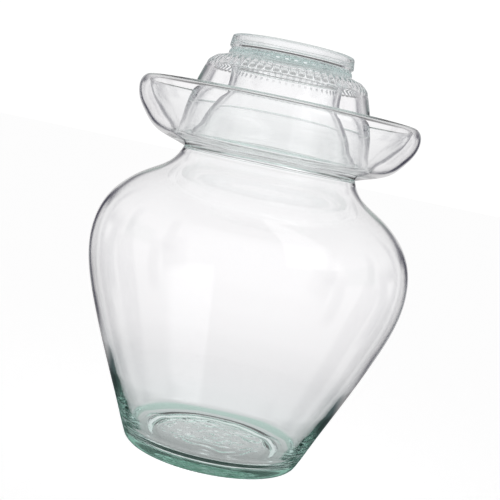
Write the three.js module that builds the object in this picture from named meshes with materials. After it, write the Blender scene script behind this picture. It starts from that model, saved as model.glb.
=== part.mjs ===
// Water-sealed fermentation jar: a blown glass jar whose neck carries a
// double-walled moat, and an inverted glass bowl that stands in the moat over
// the mouth. Water in the moat makes the airlock.
// Millimetres, +Z up, origin at the centre of the base, jar axis on Z.
import * as THREE from 'three';

// ---- driving dimensions (mm) ----------------------------------------------
const SEGMENTS = 40;          // facets round the axis
const FACET_TOL = 0.35;       // how far a facet may leave the profile

const REST_R_IN = 49.6;       // annulus the jar stands on
const REST_R_OUT = 55.0;
const PUNT_DEPTH = 5.0;       // hollow under the base
const FLOOR_TOP = 8.8;        // inside floor, above the table
const FLOOR_EDGE_R = 58.9;    // where the floor turns up into the wall
const BODY_R = 110.6;         // widest body radius, at BODY_Z
const BODY_Z = 135.2;
const NECK_R = 59.9;          // crease where the neck meets the moat
const NECK_Z = 206.2;
const NECK_R_IN = 57.0;
const MOAT_R = 97.1;          // widest moat radius
const MOAT_TOP = 248.8;       // top of the folded rim
const MOAT_FLOOR = 212.6;     // floor that the bowl stands on
const FOLD_GAP = 0.9;         // slit between the two fold walls at the neck
const MOUTH_R_OUT = 38.6;     // collar round the mouth
const MOUTH_R_IN = 36.1;
const MOUTH_TOP = 267.1;
const SEAT_GAP = 0.3;         // air between bowl rim and moat floor
const BOWL_RIM_R = 66.2;      // bowl lid, outer radius at the rim
const BOWL_WALL = 3.6;
const CEILING = 269.4;        // underside of the bowl's bottom
const RECESS_FLOOR = 278.4;   // inside its foot ring
const RING_R = 42.8;          // foot ring, outer radius at its root
const TOTAL_TOP = 286.6;

// wall thickness of the body, by height of the outer surface
const WALL = [[10, 6.4], [16, 5.6], [24, 4.7], [34, 4.1], [48, 3.6], [66, 3.3],
  [100, 3.1], [150, 3.0], [180, 2.9], [206, 2.8]];

// ---- helpers ----------------------------------------------------------------
function lerpTable(table, x) {
  if (x <= table[0][0]) return table[0][1];
  for (let i = 1; i < table.length; i++) {
    const [x1, y1] = table[i - 1], [x2, y2] = table[i];
    if (x <= x2) return y1 + (y2 - y1) * (x - x1) / (x2 - x1);
  }
  return table[table.length - 1][1];
}

// the same curve moved to its inner side by the wall thickness there
function offsetInward(points) {
  return points.map(([r, z], i) => {
    const a = points[Math.max(i - 1, 0)], b = points[Math.min(i + 1, points.length - 1)];
    const dr = b[0] - a[0], dz = b[1] - a[1], len = Math.hypot(dr, dz);
    const t = lerpTable(WALL, z);
    return [r - t * dz / len, z + t * dr / len];
  });
}

// drops profile points that lie within FACET_TOL of the line of their neighbours
function simplify(points) {
  const keep = new Array(points.length).fill(false);
  keep[0] = keep[points.length - 1] = true;
  const walk = (i, j) => {
    const [r1, z1] = points[i], [r2, z2] = points[j];
    const len = Math.hypot(r2 - r1, z2 - z1);
    let far = -1, dist = FACET_TOL;
    for (let k = i + 1; k < j; k++) {
      const [r, z] = points[k];
      const d = len > 0
        ? Math.abs((r2 - r1) * (z1 - z) - (r1 - r) * (z2 - z1)) / len
        : Math.hypot(r - r1, z - z1);
      if (d > dist) { far = k; dist = d; }
    }
    if (far > 0) { keep[far] = true; walk(i, far); walk(far, j); }
  };
  walk(0, points.length - 1);
  return points.filter((p, i) => keep[i]);
}

// closed solid of revolution; every run of points is simplified on its own, so
// the corners between runs stay exact
function turned(name, runs, material) {
  const points = [];
  for (const run of runs) {
    for (const p of simplify(run)) {
      const last = points[points.length - 1];
      if (!last || Math.hypot(p[0] - last[0], p[1] - last[1]) > 1e-6) points.push(p);
    }
  }
  const profile = points.map(([r, z]) => new THREE.Vector2(r, z));
  const geometry = new THREE.LatheGeometry(profile, SEGMENTS);
  geometry.rotateX(Math.PI / 2);
  const mesh = new THREE.Mesh(geometry, material);
  mesh.name = name;
  return mesh;
}

// ---- jar body ---------------------------------------------------------------
const underside = [[0, PUNT_DEPTH], [39.5, PUNT_DEPTH], [44.2, 4.4], [47.0, 3.0], [48.7, 1.4],
  [REST_R_IN, 0]];
const rest = [[REST_R_IN, 0], [REST_R_OUT, 0]];
const heel = [[REST_R_OUT, 0], [57.5, 0.4], [59.8, 1.5], [61.4, 3.1], [62.3, 4.7], [63.3, 6.9],
  [65.0, 10.4]];
const bodyOuter = [[65.0, 10.4], [67.1, 15.2], [70.0, 22.1], [73.6, 30.4], [78.0, 40.0],
  [83.0, 51.1], [88.5, 63.5], [93.8, 75.9], [98.8, 88.3], [103.5, 100.7], [106.6, 110.4],
  [108.6, 118.7], [110.0, 127.0], [BODY_R, BODY_Z], [110.2, 143.5], [108.7, 151.8],
  [105.8, 160.1], [101.8, 167.0], [97.3, 172.4], [92.5, 177.0], [87.9, 180.9], [83.1, 184.3],
  [78.2, 187.2], [73.7, 189.8], [69.3, 192.7], [65.4, 196.1], [62.7, 199.9], [61.0, 203.3],
  [NECK_R, NECK_Z]];
// outside of the moat, from the neck crease out and up to the folded rim
const moatOuter = [[NECK_R, NECK_Z], [62.8, 207.4], [66.7, 208.7], [70.8, 209.9], [76.3, 211.8],
  [80.4, 213.9], [83.7, 216.6], [86.4, 219.4], [88.9, 222.4], [91.1, 225.4], [93.2, 228.4],
  [94.9, 231.6], [96.1, 234.9], [96.9, 238.3], [MOAT_R, 241.6]];
const moatRim = [[MOAT_R, 241.6], [96.6, 244.4], [95.5, 246.6], [94.0, 248.1], [92.2, MOAT_TOP],
  [90.6, 248.4], [89.5, 247.2], [88.8, 245.5], [88.2, 243.3]];
// inside of the moat, down to its floor
const moatInner = [[88.2, 243.3], [87.2, 240.4], [85.6, 236.6], [83.4, 232.9], [79.6, 228.5],
  [75.4, 224.2], [72.2, 220.6], [69.9, 217.6], [68.4, 215.0], [67.4, 213.3], [66.0, MOAT_FLOOR]];
const moatFloor = [[66.0, MOAT_FLOOR], [59.6, MOAT_FLOOR]];
// inner neck: a dome that rises from the moat floor to a short upright collar
const domeOuter = [[59.6, MOAT_FLOOR], [58.2, 213.2], [57.2, 214.9], [56.4, 217.2], [54.9, 220.2],
  [51.8, 225.6], [48.3, 233.9], [45.2, 240.8], [41.9, 247.0], [39.8, 250.6], [38.8, 253.8],
  [MOUTH_R_OUT, 257.5]];
const lip = [[MOUTH_R_OUT, 257.5], [MOUTH_R_OUT, 265.6], [38.2, 266.7], [37.35, MOUTH_TOP],
  [36.5, 266.7], [MOUTH_R_IN, 265.6], [MOUTH_R_IN, 258.0]];
const domeInner = [[MOUTH_R_IN, 258.0], [36.4, 253.6], [37.6, 249.6], [39.8, 245.6], [43.0, 239.6],
  [46.1, 232.7], [49.6, 224.5], [52.6, 219.4], [54.1, 216.2], [55.2, 213.4], [56.9, 211.2],
  [59.5, 210.6]];
// hollow fold of the moat: out over the slit, up to the rim and back
const foldUp = [[59.5, 210.6], [66.2, 210.6], [68.9, 211.8], [70.6, 213.8], [72.2, 216.4],
  [74.4, 219.6], [77.2, 222.6], [81.4, 226.9], [85.3, 231.6], [87.6, 236.0], [89.2, 239.9],
  [90.3, 243.0], [91.0, 245.0], [92.0, 246.2]];
const foldDown = [[92.0, 246.2], [93.2, 246.0], [94.1, 244.6], [94.6, 241.8], [94.5, 238.6],
  [93.7, 235.4], [92.5, 232.2], [90.8, 229.2], [88.7, 226.3], [86.2, 223.4], [83.2, 220.8],
  [79.8, 218.8], [76.4, 217.6], [73.6, 216.4], [72.0, 213.9], [69.8, 211.3],
  [66.5, 210.6 - FOLD_GAP], [60.1, 210.6 - FOLD_GAP]];
const neckInner = [[60.1, 210.6 - FOLD_GAP], [58.0, 208.7], [NECK_R_IN, 206.4]];
const bodyInner = offsetInward(bodyOuter).slice(1, -1).reverse();
const wallDown = [[NECK_R_IN, 206.4], ...bodyInner, [FLOOR_EDGE_R, 11.4]];
const floorIn = [[FLOOR_EDGE_R, 11.4], [56.6, 10.0], [52.8, 9.2], [47.3, FLOOR_TOP], [0, FLOOR_TOP]];

const jarGlass = new THREE.MeshStandardMaterial({
  color: 0xdfeae4, roughness: 0.04, metalness: 0, transparent: true, opacity: 0.35 });
const jarBody = turned('jar_body', [underside, rest, heel, bodyOuter, moatOuter, moatRim,
  moatInner, moatFloor, domeOuter, lip, domeInner, foldUp, foldDown, neckInner, wallDown,
  floorIn], jarGlass);

// ---- bowl lid ---------------------------------------------------------------
const SEAT = MOAT_FLOOR + SEAT_GAP;
const ceiling = [[0, CEILING], [43.0, CEILING]];
const bowlInner = [[43.0, CEILING], [46.6, 268.6], [49.4, 266.6], [51.4, 263.7], [53.0, 260.2],
  [54.7, 255.8], [56.3, 251.2], [57.8, 246.0], [59.0, 240.0], [60.0, 234.0], [60.9, 227.6],
  [61.6, 221.4], [62.0, 216.6], [62.3, 214.4], [63.1, 213.2], [63.9, SEAT]];
const bowlRim = [[63.9, SEAT], [64.7, SEAT]];
const bowlOuter = [[64.7, SEAT], [65.7, 213.6], [BOWL_RIM_R, 215.2], [66.0, 217.6], [65.4, 222.2],
  [64.8, 227.0], [64.1, 231.8], [63.3, 236.7], [62.4, 241.5], [61.5, 246.0], [60.5, 250.2],
  [59.6, 253.9], [58.5, 257.8], [57.3, 261.0], [56.5, 263.6]];
const shoulder = [[56.5, 263.6], [55.7, 265.0], [54.6, 266.4], [53.3, 267.8], [51.8, 269.1],
  [49.7, 270.6], [47.2, 271.9], [45.0, 272.8], [43.4, 273.3], [RING_R, 274.2]];
const ringOuter = [[RING_R, 274.2], [42.6, 278.4], [42.3, 285.0]];
const ringTop = [[42.3, 285.0], [41.9, 286.1], [40.9, TOTAL_TOP], [39.9, TOTAL_TOP],
  [39.1, 286.1], [38.8, 285.2]];
const ringInner = [[38.8, 285.2], [38.4, 280.6], [37.7, 279.1], [36.3, RECESS_FLOOR]];
const recess = [[36.3, RECESS_FLOOR], [0, RECESS_FLOOR]];

const lidGlass = new THREE.MeshStandardMaterial({
  color: 0xd5e4de, roughness: 0.05, metalness: 0, transparent: true, opacity: 0.4 });
const bowlLid = turned('bowl_lid', [ceiling, bowlInner, bowlRim, bowlOuter, shoulder, ringOuter,
  ringTop, ringInner, recess], lidGlass);

const jar = new THREE.Group();
jar.add(jarBody, bowlLid);

export default jar;
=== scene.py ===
import math

import bpy
import numpy as np
from mathutils import Matrix, Vector, noise


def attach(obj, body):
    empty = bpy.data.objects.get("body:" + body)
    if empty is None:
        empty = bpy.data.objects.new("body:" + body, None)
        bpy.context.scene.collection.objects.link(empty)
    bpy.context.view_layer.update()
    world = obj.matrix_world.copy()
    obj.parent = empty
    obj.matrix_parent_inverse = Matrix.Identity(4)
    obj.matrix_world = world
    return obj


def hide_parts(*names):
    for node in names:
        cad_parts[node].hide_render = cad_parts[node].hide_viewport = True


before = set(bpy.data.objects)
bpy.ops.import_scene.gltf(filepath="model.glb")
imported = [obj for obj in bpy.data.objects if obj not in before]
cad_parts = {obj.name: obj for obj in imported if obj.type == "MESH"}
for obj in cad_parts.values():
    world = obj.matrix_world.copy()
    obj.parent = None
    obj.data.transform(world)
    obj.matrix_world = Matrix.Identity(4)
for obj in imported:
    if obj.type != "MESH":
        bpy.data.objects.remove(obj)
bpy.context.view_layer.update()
MM = 0.001

# ---------------------------------------------------------------- dimensions
# profile points are [r, z] in millimetres
PUNT_DEPTH, REST_IN, REST_OUT = 5.0, 49.6, 55.0
FLOOR_TOP = 8.8
MOAT_FLOOR = 212.6
SEAT = MOAT_FLOOR + 0.3
CEILING, RECESS_FLOOR, TOP = 269.4, 278.4, 286.6
RIBS, FLUTES = 64, 44
WALL = [(10, 6.4), (16, 5.6), (24, 4.7), (34, 4.1), (48, 3.6), (66, 3.3),
        (100, 3.1), (150, 3.0), (180, 2.9), (206, 2.8)]
BODY = [(65.0, 10.4), (67.1, 15.2), (70.0, 22.1), (73.6, 30.4), (78.0, 40.0),
        (83.0, 51.1), (88.5, 63.5), (93.8, 75.9), (98.8, 88.3), (103.6, 100.7),
        (106.7, 110.4), (108.8, 118.7), (110.2, 127.0), (110.75, 135.2),
        (110.3, 143.5), (108.8, 151.8), (105.8, 160.1), (101.8, 167.0),
        (97.3, 172.4), (92.5, 177.0), (87.9, 180.9), (83.0, 184.3), (78.1, 187.2),
        (73.5, 189.8), (69.1, 192.7), (65.3, 196.1), (62.6, 199.9), (60.9, 203.3),
        (59.9, 206.2)]


# ------------------------------------------------------------------- curves
def bspline(points, step):
    """Points on a clamped uniform cubic B-spline through the first and last
    point and close to the others, about step apart."""
    p = np.array(points, float)
    if len(p) == 2:
        n = max(1, int(round(np.linalg.norm(p[1] - p[0]) / step)))
        t = np.linspace(0, 1, n + 1)[:, None]
        return p[0] * (1 - t) + p[1] * t
    q = np.vstack([2 * p[0] - p[1], p, 2 * p[-1] - p[-2]])
    t = np.linspace(0, 1, 24, endpoint=False)
    b0, b1 = (1 - t) ** 3 / 6, (3 * t ** 3 - 6 * t ** 2 + 4) / 6
    b2, b3 = (-3 * t ** 3 + 3 * t ** 2 + 3 * t + 1) / 6, t ** 3 / 6
    out = []
    for i in range(len(q) - 3):
        out.append(b0[:, None] * q[i] + b1[:, None] * q[i + 1]
                   + b2[:, None] * q[i + 2] + b3[:, None] * q[i + 3])
    c = np.vstack(out + [p[-1:]])
    d = np.concatenate([[0], np.cumsum(np.linalg.norm(np.diff(c, axis=0), axis=1))])
    n = max(2, int(round(d[-1] / step)))
    s = np.linspace(0, d[-1], n + 1)
    return np.stack([np.interp(s, d, c[:, 0]), np.interp(s, d, c[:, 1])], 1)


def offset_inward(points):
    p = np.array(points, float)
    d = np.gradient(p, axis=0)
    d /= np.linalg.norm(d, axis=1)[:, None]
    t = np.interp(p[:, 1], [w[0] for w in WALL], [w[1] for w in WALL])
    return np.stack([p[:, 0] - t * d[:, 1], p[:, 1] + t * d[:, 0]], 1)


def chain(runs):
    """One profile of several runs (name, points), and the run name of each
    point."""
    pts, tags = [], []
    for tag, run in runs:
        for q in run:
            if pts and math.hypot(q[0] - pts[-1][0], q[1] - pts[-1][1]) < 1e-4:
                continue
            pts.append((float(q[0]), float(q[1])))
            tags.append(tag)
    return np.array(pts), tags


def normals_of(profile):
    d = np.gradient(profile, axis=0)
    d /= np.maximum(np.linalg.norm(d, axis=1), 1e-9)[:, None]
    return np.stack([d[:, 1], -d[:, 0]], 1)


def rings(profile, segments, shift):
    """Rows of points round the axis in metres, one row per profile point."""
    a = np.arange(segments) * 2 * math.pi / segments
    r = np.repeat(profile[:, 0][:, None], segments, 1)
    z = np.repeat(profile[:, 1][:, None], segments, 1)
    ang = np.repeat(a[None, :], len(profile), 0)
    if shift is not None:
        r, z = shift(r, z, ang)
    return np.stack([r * np.cos(ang), r * np.sin(ang), z], 2) * MM


def lathe(name, profile, segments, shift=None, hollows=()):
    """A closed solid of revolution. The profile starts and ends on the axis,
    and each hollow is a closed loop of profile points, a ring of air inside."""
    rows = rings(profile, segments, shift)
    n = len(rows) - 2
    verts = [np.array([[0, 0, rows[0, :, 2].mean()]]), rows[1:-1].reshape(-1, 3),
             np.array([[0, 0, rows[-1, :, 2].mean()]])]
    count = 2 + n * segments
    idx = 1 + np.arange(n * segments).reshape(n, segments)
    nxt = np.roll(idx, -1, 1)
    quads = np.stack([idx[:-1], nxt[:-1], nxt[1:], idx[1:]], 2).reshape(-1, 4)
    first = np.stack([np.zeros(segments, int), nxt[0], idx[0]], 1)
    last = np.stack([np.full(segments, count - 1), idx[-1], nxt[-1]], 1)
    shells = [(verts, [first, last], quads, 1)]
    faces_t, faces_q, points, base = [], [], [], 0
    for loop in hollows:
        ring = rings(np.array(loop), segments, None)
        m = len(ring)
        i = np.arange(m * segments).reshape(m, segments)
        j, up = np.roll(i, -1, 1), np.roll(i, -1, 0)
        k = np.roll(up, -1, 1)
        shells.append(([ring.reshape(-1, 3)], [], np.stack([i, j, k, up], 2).reshape(-1, 4), -1))
    for pts, tris, qs, sign in shells:
        v = np.concatenate(pts)
        t = np.concatenate(tris) if tris else np.zeros((0, 3), int)
        every = np.concatenate([t, qs[:, :3], qs[:, [0, 2, 3]]])
        p, q, w = v[every[:, 0]], v[every[:, 1]], v[every[:, 2]]
        volume = np.einsum("ij,ij->i", p, np.cross(q, w)).sum()
        if volume * sign < 0:
            t, qs = t[:, ::-1], qs[:, ::-1]
        points.append(v)
        faces_t.append(t + base)
        faces_q.append(qs + base)
        base += len(v)
    me = bpy.data.meshes.new(name)
    me.from_pydata(np.concatenate(points).tolist(), [],
                   np.concatenate(faces_t).tolist() + np.concatenate(faces_q).tolist())
    me.shade_smooth()
    ob = bpy.data.objects.new(name, me)
    bpy.context.scene.collection.objects.link(ob)
    return ob


# ------------------------------------------------------------------ jar body
def jar_profile():
    body = bspline(BODY, 1.6)
    inner = offset_inward(body)[::-1]
    inner = inner[(inner[:, 1] > 17.0) & (inner[:, 1] < 203.0)]
    runs = [
        ("punt", bspline([(0, PUNT_DEPTH), (31.0, PUNT_DEPTH)], 0.9)),
        ("punt_edge", bspline([(31.0, PUNT_DEPTH), (36.0, 4.8), (41.0, 4.1), (44.8, 2.8),
                               (47.4, 1.3), (48.8, 0.35), (REST_IN, 0.0)], 0.45)),
        ("rest", bspline([(REST_IN, 0.0), (REST_OUT, 0.0)], 1.0)),
        ("heel", bspline([(REST_OUT, 0.0), (57.5, 0.3), (59.8, 1.3), (61.4, 3.0), (62.4, 4.8),
                          (63.4, 7.0), (65.0, 10.4)], 0.6)),
        ("body", body),
        ("moat_outer", bspline([(59.9, 206.2), (62.0, 207.2), (66.7, 208.7), (70.8, 209.9),
                                (76.3, 211.8), (80.7, 213.9), (84.2, 216.5), (87.0, 219.3),
                                (89.4, 222.4), (91.7, 225.4), (93.8, 228.4), (95.5, 231.6),
                                (96.7, 234.9), (97.4, 238.3), (97.5, 241.6), (96.9, 244.5),
                                (95.6, 246.8), (94.0, 248.3), (92.2, 248.9), (90.5, 248.5),
                                (89.4, 247.1), (88.7, 245.3), (88.0, 243.0), (87.0, 240.2),
                                (85.5, 236.6), (83.1, 232.7), (79.4, 228.3), (75.3, 224.1),
                                (72.1, 220.6), (69.9, 217.6), (68.5, 215.1), (67.5, 213.5),
                                (66.2, 212.6)], 0.6)),
        ("moat_floor", bspline([(66.2, MOAT_FLOOR), (59.8, MOAT_FLOOR)], 0.8)),
        ("dome", bspline([(59.8, MOAT_FLOOR), (58.2, 213.1), (57.2, 214.9), (56.3, 217.2),
                          (54.8, 220.2), (51.8, 225.6), (48.3, 233.3), (45.2, 240.2),
                          (42.2, 246.2), (40.0, 250.3), (38.8, 253.8), (38.5, 257.5),
                          (38.6, 262.0), (38.7, 264.6), (38.6, 266.0), (38.0, 266.9),
                          (37.2, 267.2), (36.4, 266.7), (36.0, 265.6), (36.1, 262.0),
                          (36.1, 258.0), (36.4, 253.6), (37.7, 249.4), (39.9, 245.0),
                          (43.0, 238.9), (46.1, 231.9), (49.6, 224.1), (52.6, 218.6),
                          (54.4, 215.0), (55.7, 212.2), (56.6, 209.8), (57.1, 207.4),
                          (57.6, 205.2), tuple(inner[0])], 0.7)),
        ("body_in", inner),
        ("floor_edge", bspline([tuple(inner[-1]), (60.4, 14.2), (58.6, 12.2), (55.8, 10.8),
                                (52.2, 9.8), (48.6, 9.1), (44.6, FLOOR_TOP)], 0.6)),
        ("floor", bspline([(44.6, FLOOR_TOP), (0, FLOOR_TOP)], 0.9)),
    ]
    return chain(runs)


def ripple(x, y, seed):
    """Swirled ripples, as a hot glass floor chills: arcs round the middle,
    drawn out of line by a slow warp."""
    out = np.zeros_like(x)
    flat_x, flat_y, flat = x.ravel(), y.ravel(), out.ravel()
    for i in range(flat_x.size):
        p = Vector((flat_x[i] / 26.0, flat_y[i] / 26.0, seed))
        w = noise.noise_vector(p * 1.4)
        u, v = p.x + 0.34 * w.x, p.y + 0.34 * w.y
        far, turn = math.hypot(u, v), math.atan2(v, u)
        arcs = noise.noise(Vector((1.5 * math.cos(turn), 1.5 * math.sin(turn),
                                   5.2 * far + seed)))
        fine = noise.noise(Vector((3.2 * math.cos(turn), 3.2 * math.sin(turn),
                                   11.0 * far + seed)))
        flat[i] = arcs + 0.33 * fine + 0.35 * noise.noise(Vector((u * 5, v * 5, seed)))
    return out


jar_pts, jar_tags = jar_profile()
jar_tag = np.array(jar_tags)


def jar_shift(r, z, ang):
    """The rippled centre of the base, on both faces."""
    d = np.zeros_like(r)
    x, y = r * np.cos(ang), r * np.sin(ang)
    for names, seed, amp, reach in ((("punt", "punt_edge"), 3.7, 0.60, 44.0),
                                    (("floor",), 9.1, 0.34, 45.0)):
        rows = np.where(np.isin(jar_tag, names))[0]
        rr, xx, yy = r[rows], x[rows], y[rows]
        edge = np.clip((reach - rr) / 12.0, 0, 1)
        edge = edge * edge * (3 - 2 * edge)
        d[rows] += amp * edge * ripple(xx, yy, seed)
    return r, z + d


# the moat's wall is one bubble of air between two even skins
def bubble(outer_skin, inner_skin, tip):
    rows = [i for i, t in enumerate(jar_tags) if t == "moat_outer"]
    line = jar_pts[rows[0] - 1:rows[-1] + 2]
    n = normals_of(line)[1:-1]
    line = line[1:-1]
    top = int(np.argmax(line[:, 1]))
    k = np.clip((np.arange(len(line)) - top) / 14.0, -0.5, 0.5)[:, None] + 0.5
    inside = line - n * (outer_skin * (1 - k) + inner_skin * k)
    keep = [q for i, q in enumerate(inside)
            if (i < top and q[0] > tip[0] + 1.6) or (i >= top and q[1] > tip[1] + 1.7)]
    pts = [tip] + [tuple(q) for q in keep[::3]] + [tip]
    return bspline(pts, 0.6)[:-1]


fold = bubble(2.5, 2.3, (70.3, 212.9))
jar = lathe("jar_glass", jar_pts, 288, jar_shift, [fold])

# ------------------------------------------------------------------ bowl lid
def lid_profile():
    runs = [
        ("ceiling", bspline([(0, CEILING), (42.0, CEILING)], 1.2)),
        ("inside", bspline([(42.0, CEILING), (44.6, 269.2), (47.2, 268.3), (49.3, 266.6),
                            (51.1, 263.9), (52.6, 260.2), (54.1, 255.8), (55.6, 251.2),
                            (57.2, 246.0), (58.9, 240.0), (60.4, 234.0), (61.7, 227.6),
                            (62.5, 221.4), (62.9, 217.0), (63.0, 214.8), (63.3, 213.5),
                            (64.1, SEAT), (65.0, 213.1), (65.9, 213.9), (66.25, 215.4),
                            (66.1, 217.6), (65.5, 222.2), (64.9, 227.0), (64.2, 231.8),
                            (63.4, 236.7), (62.5, 241.5), (61.6, 246.0), (60.6, 250.2),
                            (59.6, 253.9), (58.4, 257.8), (57.3, 261.0), (56.8, 262.4)], 0.7)),
        ("rib", bspline([(56.8, 262.4), (56.45, 263.3), (55.9, 264.3), (55.2, 265.3),
                         (54.3, 266.4), (53.1, 267.6), (51.6, 268.9), (49.9, 270.1),
                         (48.7, 270.9)], 0.3)),
        ("land", bspline([(48.7, 270.9), (47.2, 271.7), (45.0, 272.6), (43.8, 272.95),
                          (43.1, 273.2), (42.8, 273.8), (42.75, 274.3)], 0.4)),
        ("flute", bspline([(42.75, 274.3), (42.6, 275.4), (42.1, 276.6), (41.5, 277.3)], 0.3)),
        ("ring", bspline([(41.5, 277.3), (41.5, 277.5), (42.1, 278.05), (42.8, 278.7),
                          (43.0, 279.05), (42.95, 279.8), (42.65, 282.2), (42.35, 284.8),
                          (42.1, 285.9), (41.4, 286.55), (40.4, 286.7), (39.4, 286.45),
                          (38.9, 285.6), (38.7, 284.2), (38.55, 282.0), (38.3, 280.2),
                          (37.8, 279.1), (37.0, 278.55), (35.8, RECESS_FLOOR)], 0.35)),
        ("recess", bspline([(35.8, RECESS_FLOOR), (0, RECESS_FLOOR)], 1.2)),
    ]
    return chain(runs)


lid_pts, lid_tags = lid_profile()
lid_tag = np.array(lid_tags)
lid_nrm = normals_of(lid_pts)


def smooth(x, lo, hi):
    t = np.clip((x - lo) / (hi - lo), 0, 1)
    return t * t * (3 - 2 * t)


def lid_shift(r, z, ang):
    """Moulded pattern: rounded ribs down the shoulder that end in small
    bumps, and shallow flutes round the lower half of the foot ring."""
    d = np.zeros_like(r)
    rows = np.where(lid_tag == "rib")[0]
    f = (ang[rows] * RIBS / (2 * math.pi)) % 1.0
    ridge = 1 - np.abs(2 * f - 1) ** 5
    fade = smooth(z[rows], 263.6, 266.6) * (1 - smooth(z[rows], 270.3, 270.9))
    d[rows] = fade * 0.85 * ridge
    rows = np.where(lid_tag == "flute")[0]
    f = (ang[rows] * FLUTES / (2 * math.pi)) % 1.0
    groove = 0.15 * np.abs(2 * f - 1) ** 2 + 0.85 * np.abs(2 * f - 1) ** 7
    fade = smooth(z[rows], 274.3, 274.8) * (1 - smooth(z[rows], 276.8, 277.25))
    d[rows] = -fade * 1.0 * groove
    nr, nz = lid_nrm[:, 0][:, None], lid_nrm[:, 1][:, None]
    side = 1.0 if nr[rows].mean() > 0 else -1.0
    return r + side * nr * d, z + side * nz * d


lid = lathe("lid_glass", lid_pts, 704, lid_shift)


# ----------------------------------------------------------------- materials
def node(tree, kind, x=0, y=0, **inputs):
    n = tree.nodes.new(kind)
    n.location = (x, y)
    for k, v in inputs.items():
        n.inputs[k.replace("_", " ")].default_value = v
    return n


def link(tree, source, target):
    tree.links.new(source, target)


def math_node(tree, op, a=None, b=None, clamp=False):
    n = tree.nodes.new("ShaderNodeMath")
    n.operation = op
    n.use_clamp = clamp
    for i, v in enumerate((a, b)):
        if v is None:
            continue
        if isinstance(v, (int, float)):
            n.inputs[i].default_value = v
        else:
            tree.links.new(v, n.inputs[i])
    return n.outputs[0]


def soft_step(tree, value, lo, hi, to_lo=0.0, to_hi=1.0):
    n = tree.nodes.new("ShaderNodeMapRange")
    n.interpolation_type = "SMOOTHSTEP"
    n.inputs["From Min"].default_value = lo
    n.inputs["From Max"].default_value = hi
    n.inputs["To Min"].default_value = to_lo
    n.inputs["To Max"].default_value = to_hi
    tree.links.new(value, n.inputs["Value"])
    return n.outputs["Result"]


def ramp_node(tree, fac, stops, mode="LINEAR"):
    """Colour ramp over fac in 0..1 from (position, colour) stops."""
    n = tree.nodes.new("ShaderNodeValToRGB")
    n.color_ramp.interpolation = mode
    els = n.color_ramp.elements
    els[0].position, els[0].color = stops[0][0], (*stops[0][1], 1)
    els[1].position, els[1].color = stops[-1][0], (*stops[-1][1], 1)
    for pos, col in stops[1:-1]:
        e = els.new(pos)
        e.color = (*col, 1)
    tree.links.new(fac, n.inputs["Fac"])
    return n.outputs["Color"]


def glass(name, tint, heel, absorb, density, wave, wave_scale):
    """Clear glass. tint is the surface colour as (height in m, colour) stops
    between z = 0 and 0.3, heel a deeper colour for the thick rim that the
    piece stands on, wave the depth of its slow unevenness in m."""
    m = bpy.data.materials.new(name)
    m.use_nodes = True
    t = m.node_tree
    t.nodes.clear()
    out = node(t, "ShaderNodeOutputMaterial", 900, 0)
    bsdf = node(t, "ShaderNodeBsdfPrincipled", 500, 0)
    bsdf.inputs["Transmission Weight"].default_value = 1.0
    bsdf.inputs["IOR"].default_value = 1.5
    bsdf.inputs["Roughness"].default_value = 0.0
    vol = node(t, "ShaderNodeVolumeAbsorption", 500, -420)
    vol.inputs["Color"].default_value = (*absorb, 1)
    vol.inputs["Density"].default_value = density
    coord = node(t, "ShaderNodeTexCoord", -900, 0)
    sep = node(t, "ShaderNodeSeparateXYZ", -700, 200)
    link(t, coord.outputs["Object"], sep.inputs[0])
    high = math_node(t, "DIVIDE", sep.outputs["Z"], 0.3, True)
    colour = ramp_node(t, high, [(z / 0.3, c) for z, c in tint], "EASE")
    if heel is not None:
        flat = node(t, "ShaderNodeCombineXYZ", -500, 400)
        link(t, sep.outputs["X"], flat.inputs["X"])
        link(t, sep.outputs["Y"], flat.inputs["Y"])
        radius = node(t, "ShaderNodeVectorMath", -300, 400)
        radius.operation = "LENGTH"
        link(t, flat.outputs[0], radius.inputs[0])
        where = math_node(t, "MULTIPLY", soft_step(t, sep.outputs["Z"], 0.0006, 0.0018),
                          soft_step(t, sep.outputs["Z"], 0.0065, 0.0110, 1.0, 0.0))
        where = math_node(t, "MULTIPLY", where, soft_step(t, radius.outputs["Value"], 0.056, 0.058))
        mix = node(t, "ShaderNodeMix", 200, 300)
        mix.data_type = "RGBA"
        link(t, where, mix.inputs[0])
        link(t, colour, mix.inputs[6])
        mix.inputs[7].default_value = (*heel, 1)
        colour = mix.outputs[2]
    link(t, colour, bsdf.inputs["Base Color"])
    mapping = node(t, "ShaderNodeMapping", -700, 0)
    mapping.inputs["Scale"].default_value = (1, 1, 0.35)
    link(t, coord.outputs["Object"], mapping.inputs["Vector"])
    cords = node(t, "ShaderNodeTexNoise", -450, -100)
    cords.inputs["Scale"].default_value = wave_scale
    cords.inputs["Detail"].default_value = 1.5
    cords.inputs["Roughness"].default_value = 0.45
    link(t, mapping.outputs["Vector"], cords.inputs["Vector"])
    bump = node(t, "ShaderNodeBump", 150, -200)
    bump.inputs["Strength"].default_value = 1.0
    calm = soft_step(t, sep.outputs["Z"], 0.015, 0.070, 0.30, 1.0)
    link(t, math_node(t, "MULTIPLY", calm, wave), bump.inputs["Distance"])
    link(t, cords.outputs["Fac"], bump.inputs["Height"])
    link(t, bump.outputs["Normal"], bsdf.inputs["Normal"])
    link(t, bsdf.outputs["BSDF"], out.inputs["Surface"])
    link(t, vol.outputs["Volume"], out.inputs["Volume"])
    return m


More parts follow.
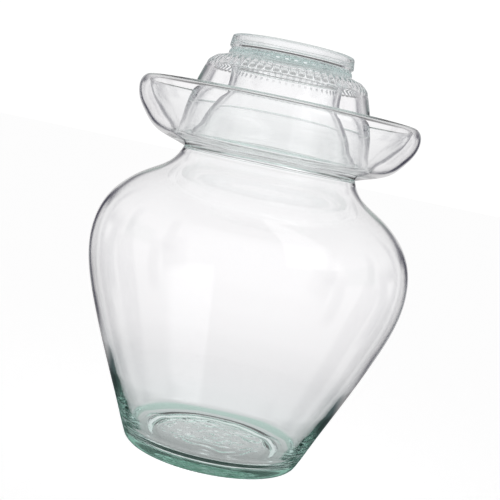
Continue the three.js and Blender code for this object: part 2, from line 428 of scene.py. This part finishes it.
CLEAR = (1.0, 1.0, 1.0)
jar_mat = glass("blown_glass", [(0.0, (0.955, 0.985, 0.978)), (0.018, (0.98, 0.994, 0.992)),
                                (0.035, CLEAR), (0.3, CLEAR)],
                (0.44, 0.72, 0.60), (0.36, 0.82, 0.70), 4.0, 0.00010, 34.0)
lid_mat = glass("pressed_glass", [(0.0, CLEAR), (0.262, CLEAR), (0.274, (0.975, 0.985, 0.985)),
                                  (0.3, (0.98, 0.985, 0.985))],
                None, (0.30, 0.70, 0.66), 2.4, 0.00007, 60.0)
jar.data.materials.append(jar_mat)
lid.data.materials.append(lid_mat)

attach(jar, "jar")
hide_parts("jar_body")
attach(lid, "lid")
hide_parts("bowl_lid")

# ----------------------------------------------------------------- studio
scene = bpy.context.scene
scene.view_settings.view_transform = "Standard"
scene.view_settings.look = "None"
scene.cycles.max_bounces = 40
scene.cycles.transmission_bounces = 40
scene.cycles.glossy_bounces = 24
scene.cycles.diffuse_bounces = 3
scene.cycles.transparent_max_bounces = 16
scene.cycles.caustics_reflective = True
scene.cycles.caustics_refractive = True
scene.cycles.blur_glossy = 0.0
scene.cycles.sample_clamp_indirect = 6.0
scene.cycles.use_denoising = True
scene.cycles.denoiser = "OPENIMAGEDENOISE"
scene.cycles.denoising_input_passes = "RGB_ALBEDO_NORMAL"

# Bright-field light for glass: white all round, with narrow black flags at
# eye level between eight white panels, which draw the dark outlines.
world = bpy.data.worlds.new("studio")
scene.world = world
world.use_nodes = True
wt = world.node_tree
wt.nodes.clear()
tc = wt.nodes.new("ShaderNodeTexCoord")
sep = wt.nodes.new("ShaderNodeSeparateXYZ")
link(wt, tc.outputs["Generated"], sep.inputs[0])
X, Y, Z = sep.outputs
around = math_node(wt, "MULTIPLY", math_node(wt, "ARCTAN2", X, Y), 180 / math.pi)
elev = math_node(wt, "MULTIPLY", math_node(wt, "ARCSINE", Z), 180 / math.pi)


def degrees_off(every):
    """Degrees from the nearest multiple of every degrees."""
    part = math_node(wt, "FRACT", math_node(wt, "ADD", math_node(wt, "DIVIDE", around, every), 10.5))
    return math_node(wt, "MULTIPLY", math_node(wt, "ABSOLUTE", math_node(wt, "SUBTRACT", part, 0.5)), every)


# narrow flags up to eye level, wider ones above it, where the lid looks
low = soft_step(wt, degrees_off(45.0), 16.0, 19.5)
off = degrees_off(90.0)
high = math_node(wt, "MULTIPLY", soft_step(wt, off, 13.5, 17.0), soft_step(wt, off, 35.0, 40.0, 1.0, 0.0))
low = math_node(wt, "MULTIPLY", low, soft_step(wt, elev, 3.0, 15.0, 1.0, 0.0))
low = math_node(wt, "MULTIPLY", low, soft_step(wt, elev, -34.0, -22.0, 0.0, 1.0))
tall = math_node(wt, "MULTIPLY", high, soft_step(wt, elev, 17.0, 26.0, 0.95, 0.0))
high = math_node(wt, "MULTIPLY", high, soft_step(wt, elev, 8.0, 19.0, 0.84, 0.0))
# mirrored light meets dimmer panels ahead, and no flags behind
lp = wt.nodes.new("ShaderNodeLightPath")
mirrored = math_node(wt, "GREATER_THAN", lp.outputs["Glossy Depth"], 0.5)
deep = math_node(wt, "MULTIPLY", mirrored, math_node(wt, "GREATER_THAN", lp.outputs["Transmission Depth"], 3.5))
inner = math_node(wt, "MULTIPLY", math_node(wt, "GREATER_THAN", lp.outputs["Transmission Depth"], 0.5),
                  math_node(wt, "SUBTRACT", 1.0, deep))
high = math_node(wt, "MULTIPLY", high, soft_step(wt, elev, 2.0, 8.0, 0.0, 1.0))
tall = math_node(wt, "MULTIPLY", tall, soft_step(wt, elev, -6.0, -1.0, 0.0, 1.0))
high = math_node(wt, "MAXIMUM", high, math_node(wt, "MULTIPLY", tall, deep))
flag = math_node(wt, "MAXIMUM", low, high)
behind = soft_step(wt, Y, -0.2, -0.85, 0.0, 1.0)
weaker = math_node(wt, "MAXIMUM", math_node(wt, "MULTIPLY", behind, 0.97),
                   math_node(wt, "MULTIPLY", math_node(wt, "SUBTRACT", 1.0, inner), 0.15))
flag = math_node(wt, "MULTIPLY", flag,
                 math_node(wt, "SUBTRACT", 1.0, math_node(wt, "MULTIPLY", mirrored, weaker)))
plain = soft_step(wt, elev, -2.0, 2.0, 0.45, 0.92)
flag = math_node(wt, "MULTIPLY", flag, math_node(wt, "MAXIMUM", plain, mirrored))
level = ramp_node(wt, math_node(wt, "DIVIDE", math_node(wt, "ADD", elev, 90.0), 180.0),
                  [((e + 90) / 180, (v * 1.005, v * 0.985, v * 1.0)) for e, v in
                   ((-90, 0.50), (-40, 0.72), (-17, 0.83), (-13, 0.90), (-10, 0.97), (-7, 1.0),
                    (30, 1.01), (90, 0.97))])
mixd = wt.nodes.new("ShaderNodeMix")
mixd.data_type = "RGBA"
mixd.inputs[7].default_value = (0.045, 0.042, 0.080, 1)
link(wt, flag, mixd.inputs[0])
link(wt, level, mixd.inputs[6])
dim = math_node(wt, "SUBTRACT", math_node(wt, "MULTIPLY", mirrored, 0.30),
                math_node(wt, "MULTIPLY", deep, 0.20))
dim = math_node(wt, "MULTIPLY", dim, math_node(wt, "SUBTRACT", 1.0, behind))
dim = math_node(wt, "SUBTRACT", 1.0, dim)
# a black ceiling for light that comes straight through
ahead = math_node(wt, "MULTIPLY", soft_step(wt, elev, 8.5, 12.0), soft_step(wt, off, 9.0, 13.0, 1.0, 0.0))
few = math_node(wt, "LESS_THAN", lp.outputs["Transmission Depth"], 4.5)
roof = math_node(wt, "MULTIPLY", math_node(wt, "MAXIMUM", ahead, soft_step(wt, elev, 10.0, 14.0)), few)
roof = math_node(wt, "MAXIMUM", roof, soft_step(wt, elev, 13.0, 22.0))
roof = math_node(wt, "MULTIPLY", roof, math_node(wt, "SUBTRACT", 1.0, mirrored))
turned_roof = math_node(wt, "MULTIPLY", soft_step(wt, elev, 44.0, 58.0, 0.0, 0.65), mirrored)
turned_roof = math_node(wt, "MULTIPLY", turned_roof, inner)
brow = math_node(wt, "MULTIPLY", soft_step(wt, elev, 2.0, 8.0), soft_step(wt, elev, 19.0, 24.0, 1.0, 0.0))
brow = math_node(wt, "MULTIPLY", brow, soft_step(wt, off, 12.0, 18.0, 1.0, 0.0))
brow = math_node(wt, "MULTIPLY", brow, math_node(wt, "MULTIPLY", math_node(wt, "MULTIPLY", mirrored, inner),
                                                 math_node(wt, "SUBTRACT", 1.0, behind)))
roof = math_node(wt, "MULTIPLY", math_node(wt, "MAXIMUM", roof, turned_roof), 0.86)
dim = math_node(wt, "MULTIPLY", dim, math_node(wt, "SUBTRACT", 1.0, roof))
# one large softbox high on the right, seen only as a reflection
box = math_node(wt, "MULTIPLY", soft_step(wt, around, 102.0, 116.0), soft_step(wt, around, 150.0, 154.0, 1.0, 0.0))
box = math_node(wt, "MULTIPLY", box, soft_step(wt, elev, 18.0, 24.0))
box = math_node(wt, "MULTIPLY", box, mirrored)
dim = math_node(wt, "ADD", dim, math_node(wt, "MULTIPLY", box, 0.8))
seen = wt.nodes.new("ShaderNodeBackground")
seen.inputs["Color"].default_value = (1, 1, 1, 1)
seen.inputs["Strength"].default_value = 1.05
lit = wt.nodes.new("ShaderNodeBackground")
card = wt.nodes.new("ShaderNodeMix")
card.data_type = "RGBA"
card.inputs[7].default_value = (0.03, 0.19, 0.12, 1)
link(wt, brow, card.inputs[0])
link(wt, mixd.outputs[2], card.inputs[6])
link(wt, card.outputs[2], lit.inputs["Color"])
link(wt, dim, lit.inputs["Strength"])
mixs = wt.nodes.new("ShaderNodeMixShader")
link(wt, lp.outputs["Is Camera Ray"], mixs.inputs[0])
link(wt, lit.outputs[0], mixs.inputs[1])
link(wt, seen.outputs[0], mixs.inputs[2])
wo = wt.nodes.new("ShaderNodeOutputWorld")
link(wt, mixs.outputs[0], wo.inputs["Surface"])

# floor: white paper; close round the base, where it is seen through the glass, a painted shadow in the jar's own
# shade
fm = bpy.data.materials.new("floor_paper_painted_shadow")
fm.use_nodes = True
ft = fm.node_tree
ft.nodes.clear()
fo = node(ft, "ShaderNodeOutputMaterial", 900, 0)
geo = node(ft, "ShaderNodeNewGeometry", -900, -300)
far = ft.nodes.new("ShaderNodeVectorMath")
far.operation = "LENGTH"
link(ft, geo.outputs["Position"], far.inputs[0])
reach = math_node(ft, "DIVIDE", far.outputs["Value"], 0.4, True)
# painted shadow: darkest grey under the jar and lighter outwards, seen by rays that pass through the glass without
# a mirroring
painted_shadow_straight = ramp_node(ft, reach, [(0.0, (0.38, 0.39, 0.39)), (0.13, (0.41, 0.42, 0.42)),
                                 (0.17, (0.62, 0.62, 0.63)), (0.28, (0.86, 0.85, 0.865)),
                                 (0.8, (0.88, 0.87, 0.885))])
# painted shade: dark teal under the base, seen by rays mirrored inside the glass
painted_shade_turned = ramp_node(ft, reach, [(0.0, (0.05, 0.10, 0.085)), (0.25, (0.05, 0.10, 0.085)),
                               (0.38, (0.09, 0.12, 0.125)), (0.48, (0.50, 0.50, 0.51)),
                               (0.8, (0.70, 0.70, 0.71))])
flp = node(ft, "ShaderNodeLightPath", -300, 500)
# a lighter painted grey shade for rays that crossed the glass more than three times
painted_shade_lift = node(ft, "ShaderNodeMix", -200, -400)
painted_shade_lift.data_type = "RGBA"
link(ft, math_node(ft, "GREATER_THAN", flp.outputs["Transmission Depth"], 3.5), painted_shade_lift.inputs[0])
link(ft, painted_shade_turned, painted_shade_lift.inputs[6])
painted_shade_lift.inputs[7].default_value = (0.55, 0.56, 0.56, 1)
painted_shade_turned = painted_shade_lift.outputs[2]
shade = node(ft, "ShaderNodeMix", 0, -200)
shade.data_type = "RGBA"
link(ft, math_node(ft, "GREATER_THAN", flp.outputs["Glossy Depth"], 0.5), shade.inputs[0])
link(ft, painted_shadow_straight, shade.inputs[6])
link(ft, painted_shade_turned, shade.inputs[7])
through = node(ft, "ShaderNodeEmission", 300, -100)
link(ft, shade.outputs[2], through.inputs["Color"])
place = node(ft, "ShaderNodeSeparateXYZ", -700, -500)
link(ft, geo.outputs["Position"], place.inputs[0])
# painted shade and light: within about 9 cm of the middle the floor glows darker on the -Y side and brighter on
# the +Y side
painted_shade_reach = soft_step(ft, far.outputs["Value"], 0.062, 0.090, 1.0, 0.0)
link(ft, math_node(ft, "ADD", 1.0, math_node(ft, "MULTIPLY", painted_shade_reach, soft_step(ft, place.outputs["Y"], -0.062, 0.015, -0.58, 0.22))),
     through.inputs["Strength"])
clear = node(ft, "ShaderNodeBsdfTransparent", 300, -300)
mixt = node(ft, "ShaderNodeMixShader", 500, -200)
link(ft, soft_step(ft, far.outputs["Value"], 0.16, 0.32), mixt.inputs[0])
link(ft, through.outputs[0], mixt.inputs[1])
link(ft, clear.outputs[0], mixt.inputs[2])
paper = node(ft, "ShaderNodeBsdfDiffuse", 100, 300)
paper.inputs["Color"].default_value = (0.5, 0.5, 0.5, 1)
glow = node(ft, "ShaderNodeEmission", 100, 150)
glow.inputs["Strength"].default_value = 0.90
both = node(ft, "ShaderNodeAddShader", 300, 200)
link(ft, paper.outputs[0], both.inputs[0])
link(ft, glow.outputs[0], both.inputs[1])
mixf = node(ft, "ShaderNodeMixShader", 700, 0)
link(ft, math_node(ft, "MAXIMUM", flp.outputs["Is Camera Ray"], flp.outputs["Is Diffuse Ray"]),
     mixf.inputs[0])
link(ft, mixt.outputs[0], mixf.inputs[1])
link(ft, both.outputs[0], mixf.inputs[2])
link(ft, mixf.outputs[0], fo.inputs["Surface"])
fme = bpy.data.meshes.new("floor")
s = 8.0
fme.from_pydata([(-s, -s, -0.0002), (s, -s, -0.0002), (s, s, -0.0002), (-s, s, -0.0002)], [], [(0, 1, 2, 3)])
floor = bpy.data.objects.new("floor", fme)
floor.data.materials.append(fm)
scene.collection.objects.link(floor)

# camera: the photograph's view, with its roll
cam_data = bpy.data.cameras.new("camera")
cam_data.sensor_width = 36.0
cam_data.lens = 75.6
cam_data.clip_start, cam_data.clip_end = 0.01, 100.0
cam = bpy.data.objects.new("camera", cam_data)
pitch, roll = math.radians(6.0), math.radians(11.9)
rot = Matrix.Rotation(math.radians(90) - pitch, 4, "X") @ Matrix.Rotation(roll, 4, "Z")
cam.matrix_world = Matrix.Translation((-0.0009, -0.7245, 0.2208)) @ rot
scene.collection.objects.link(cam)
scene.camera = cam
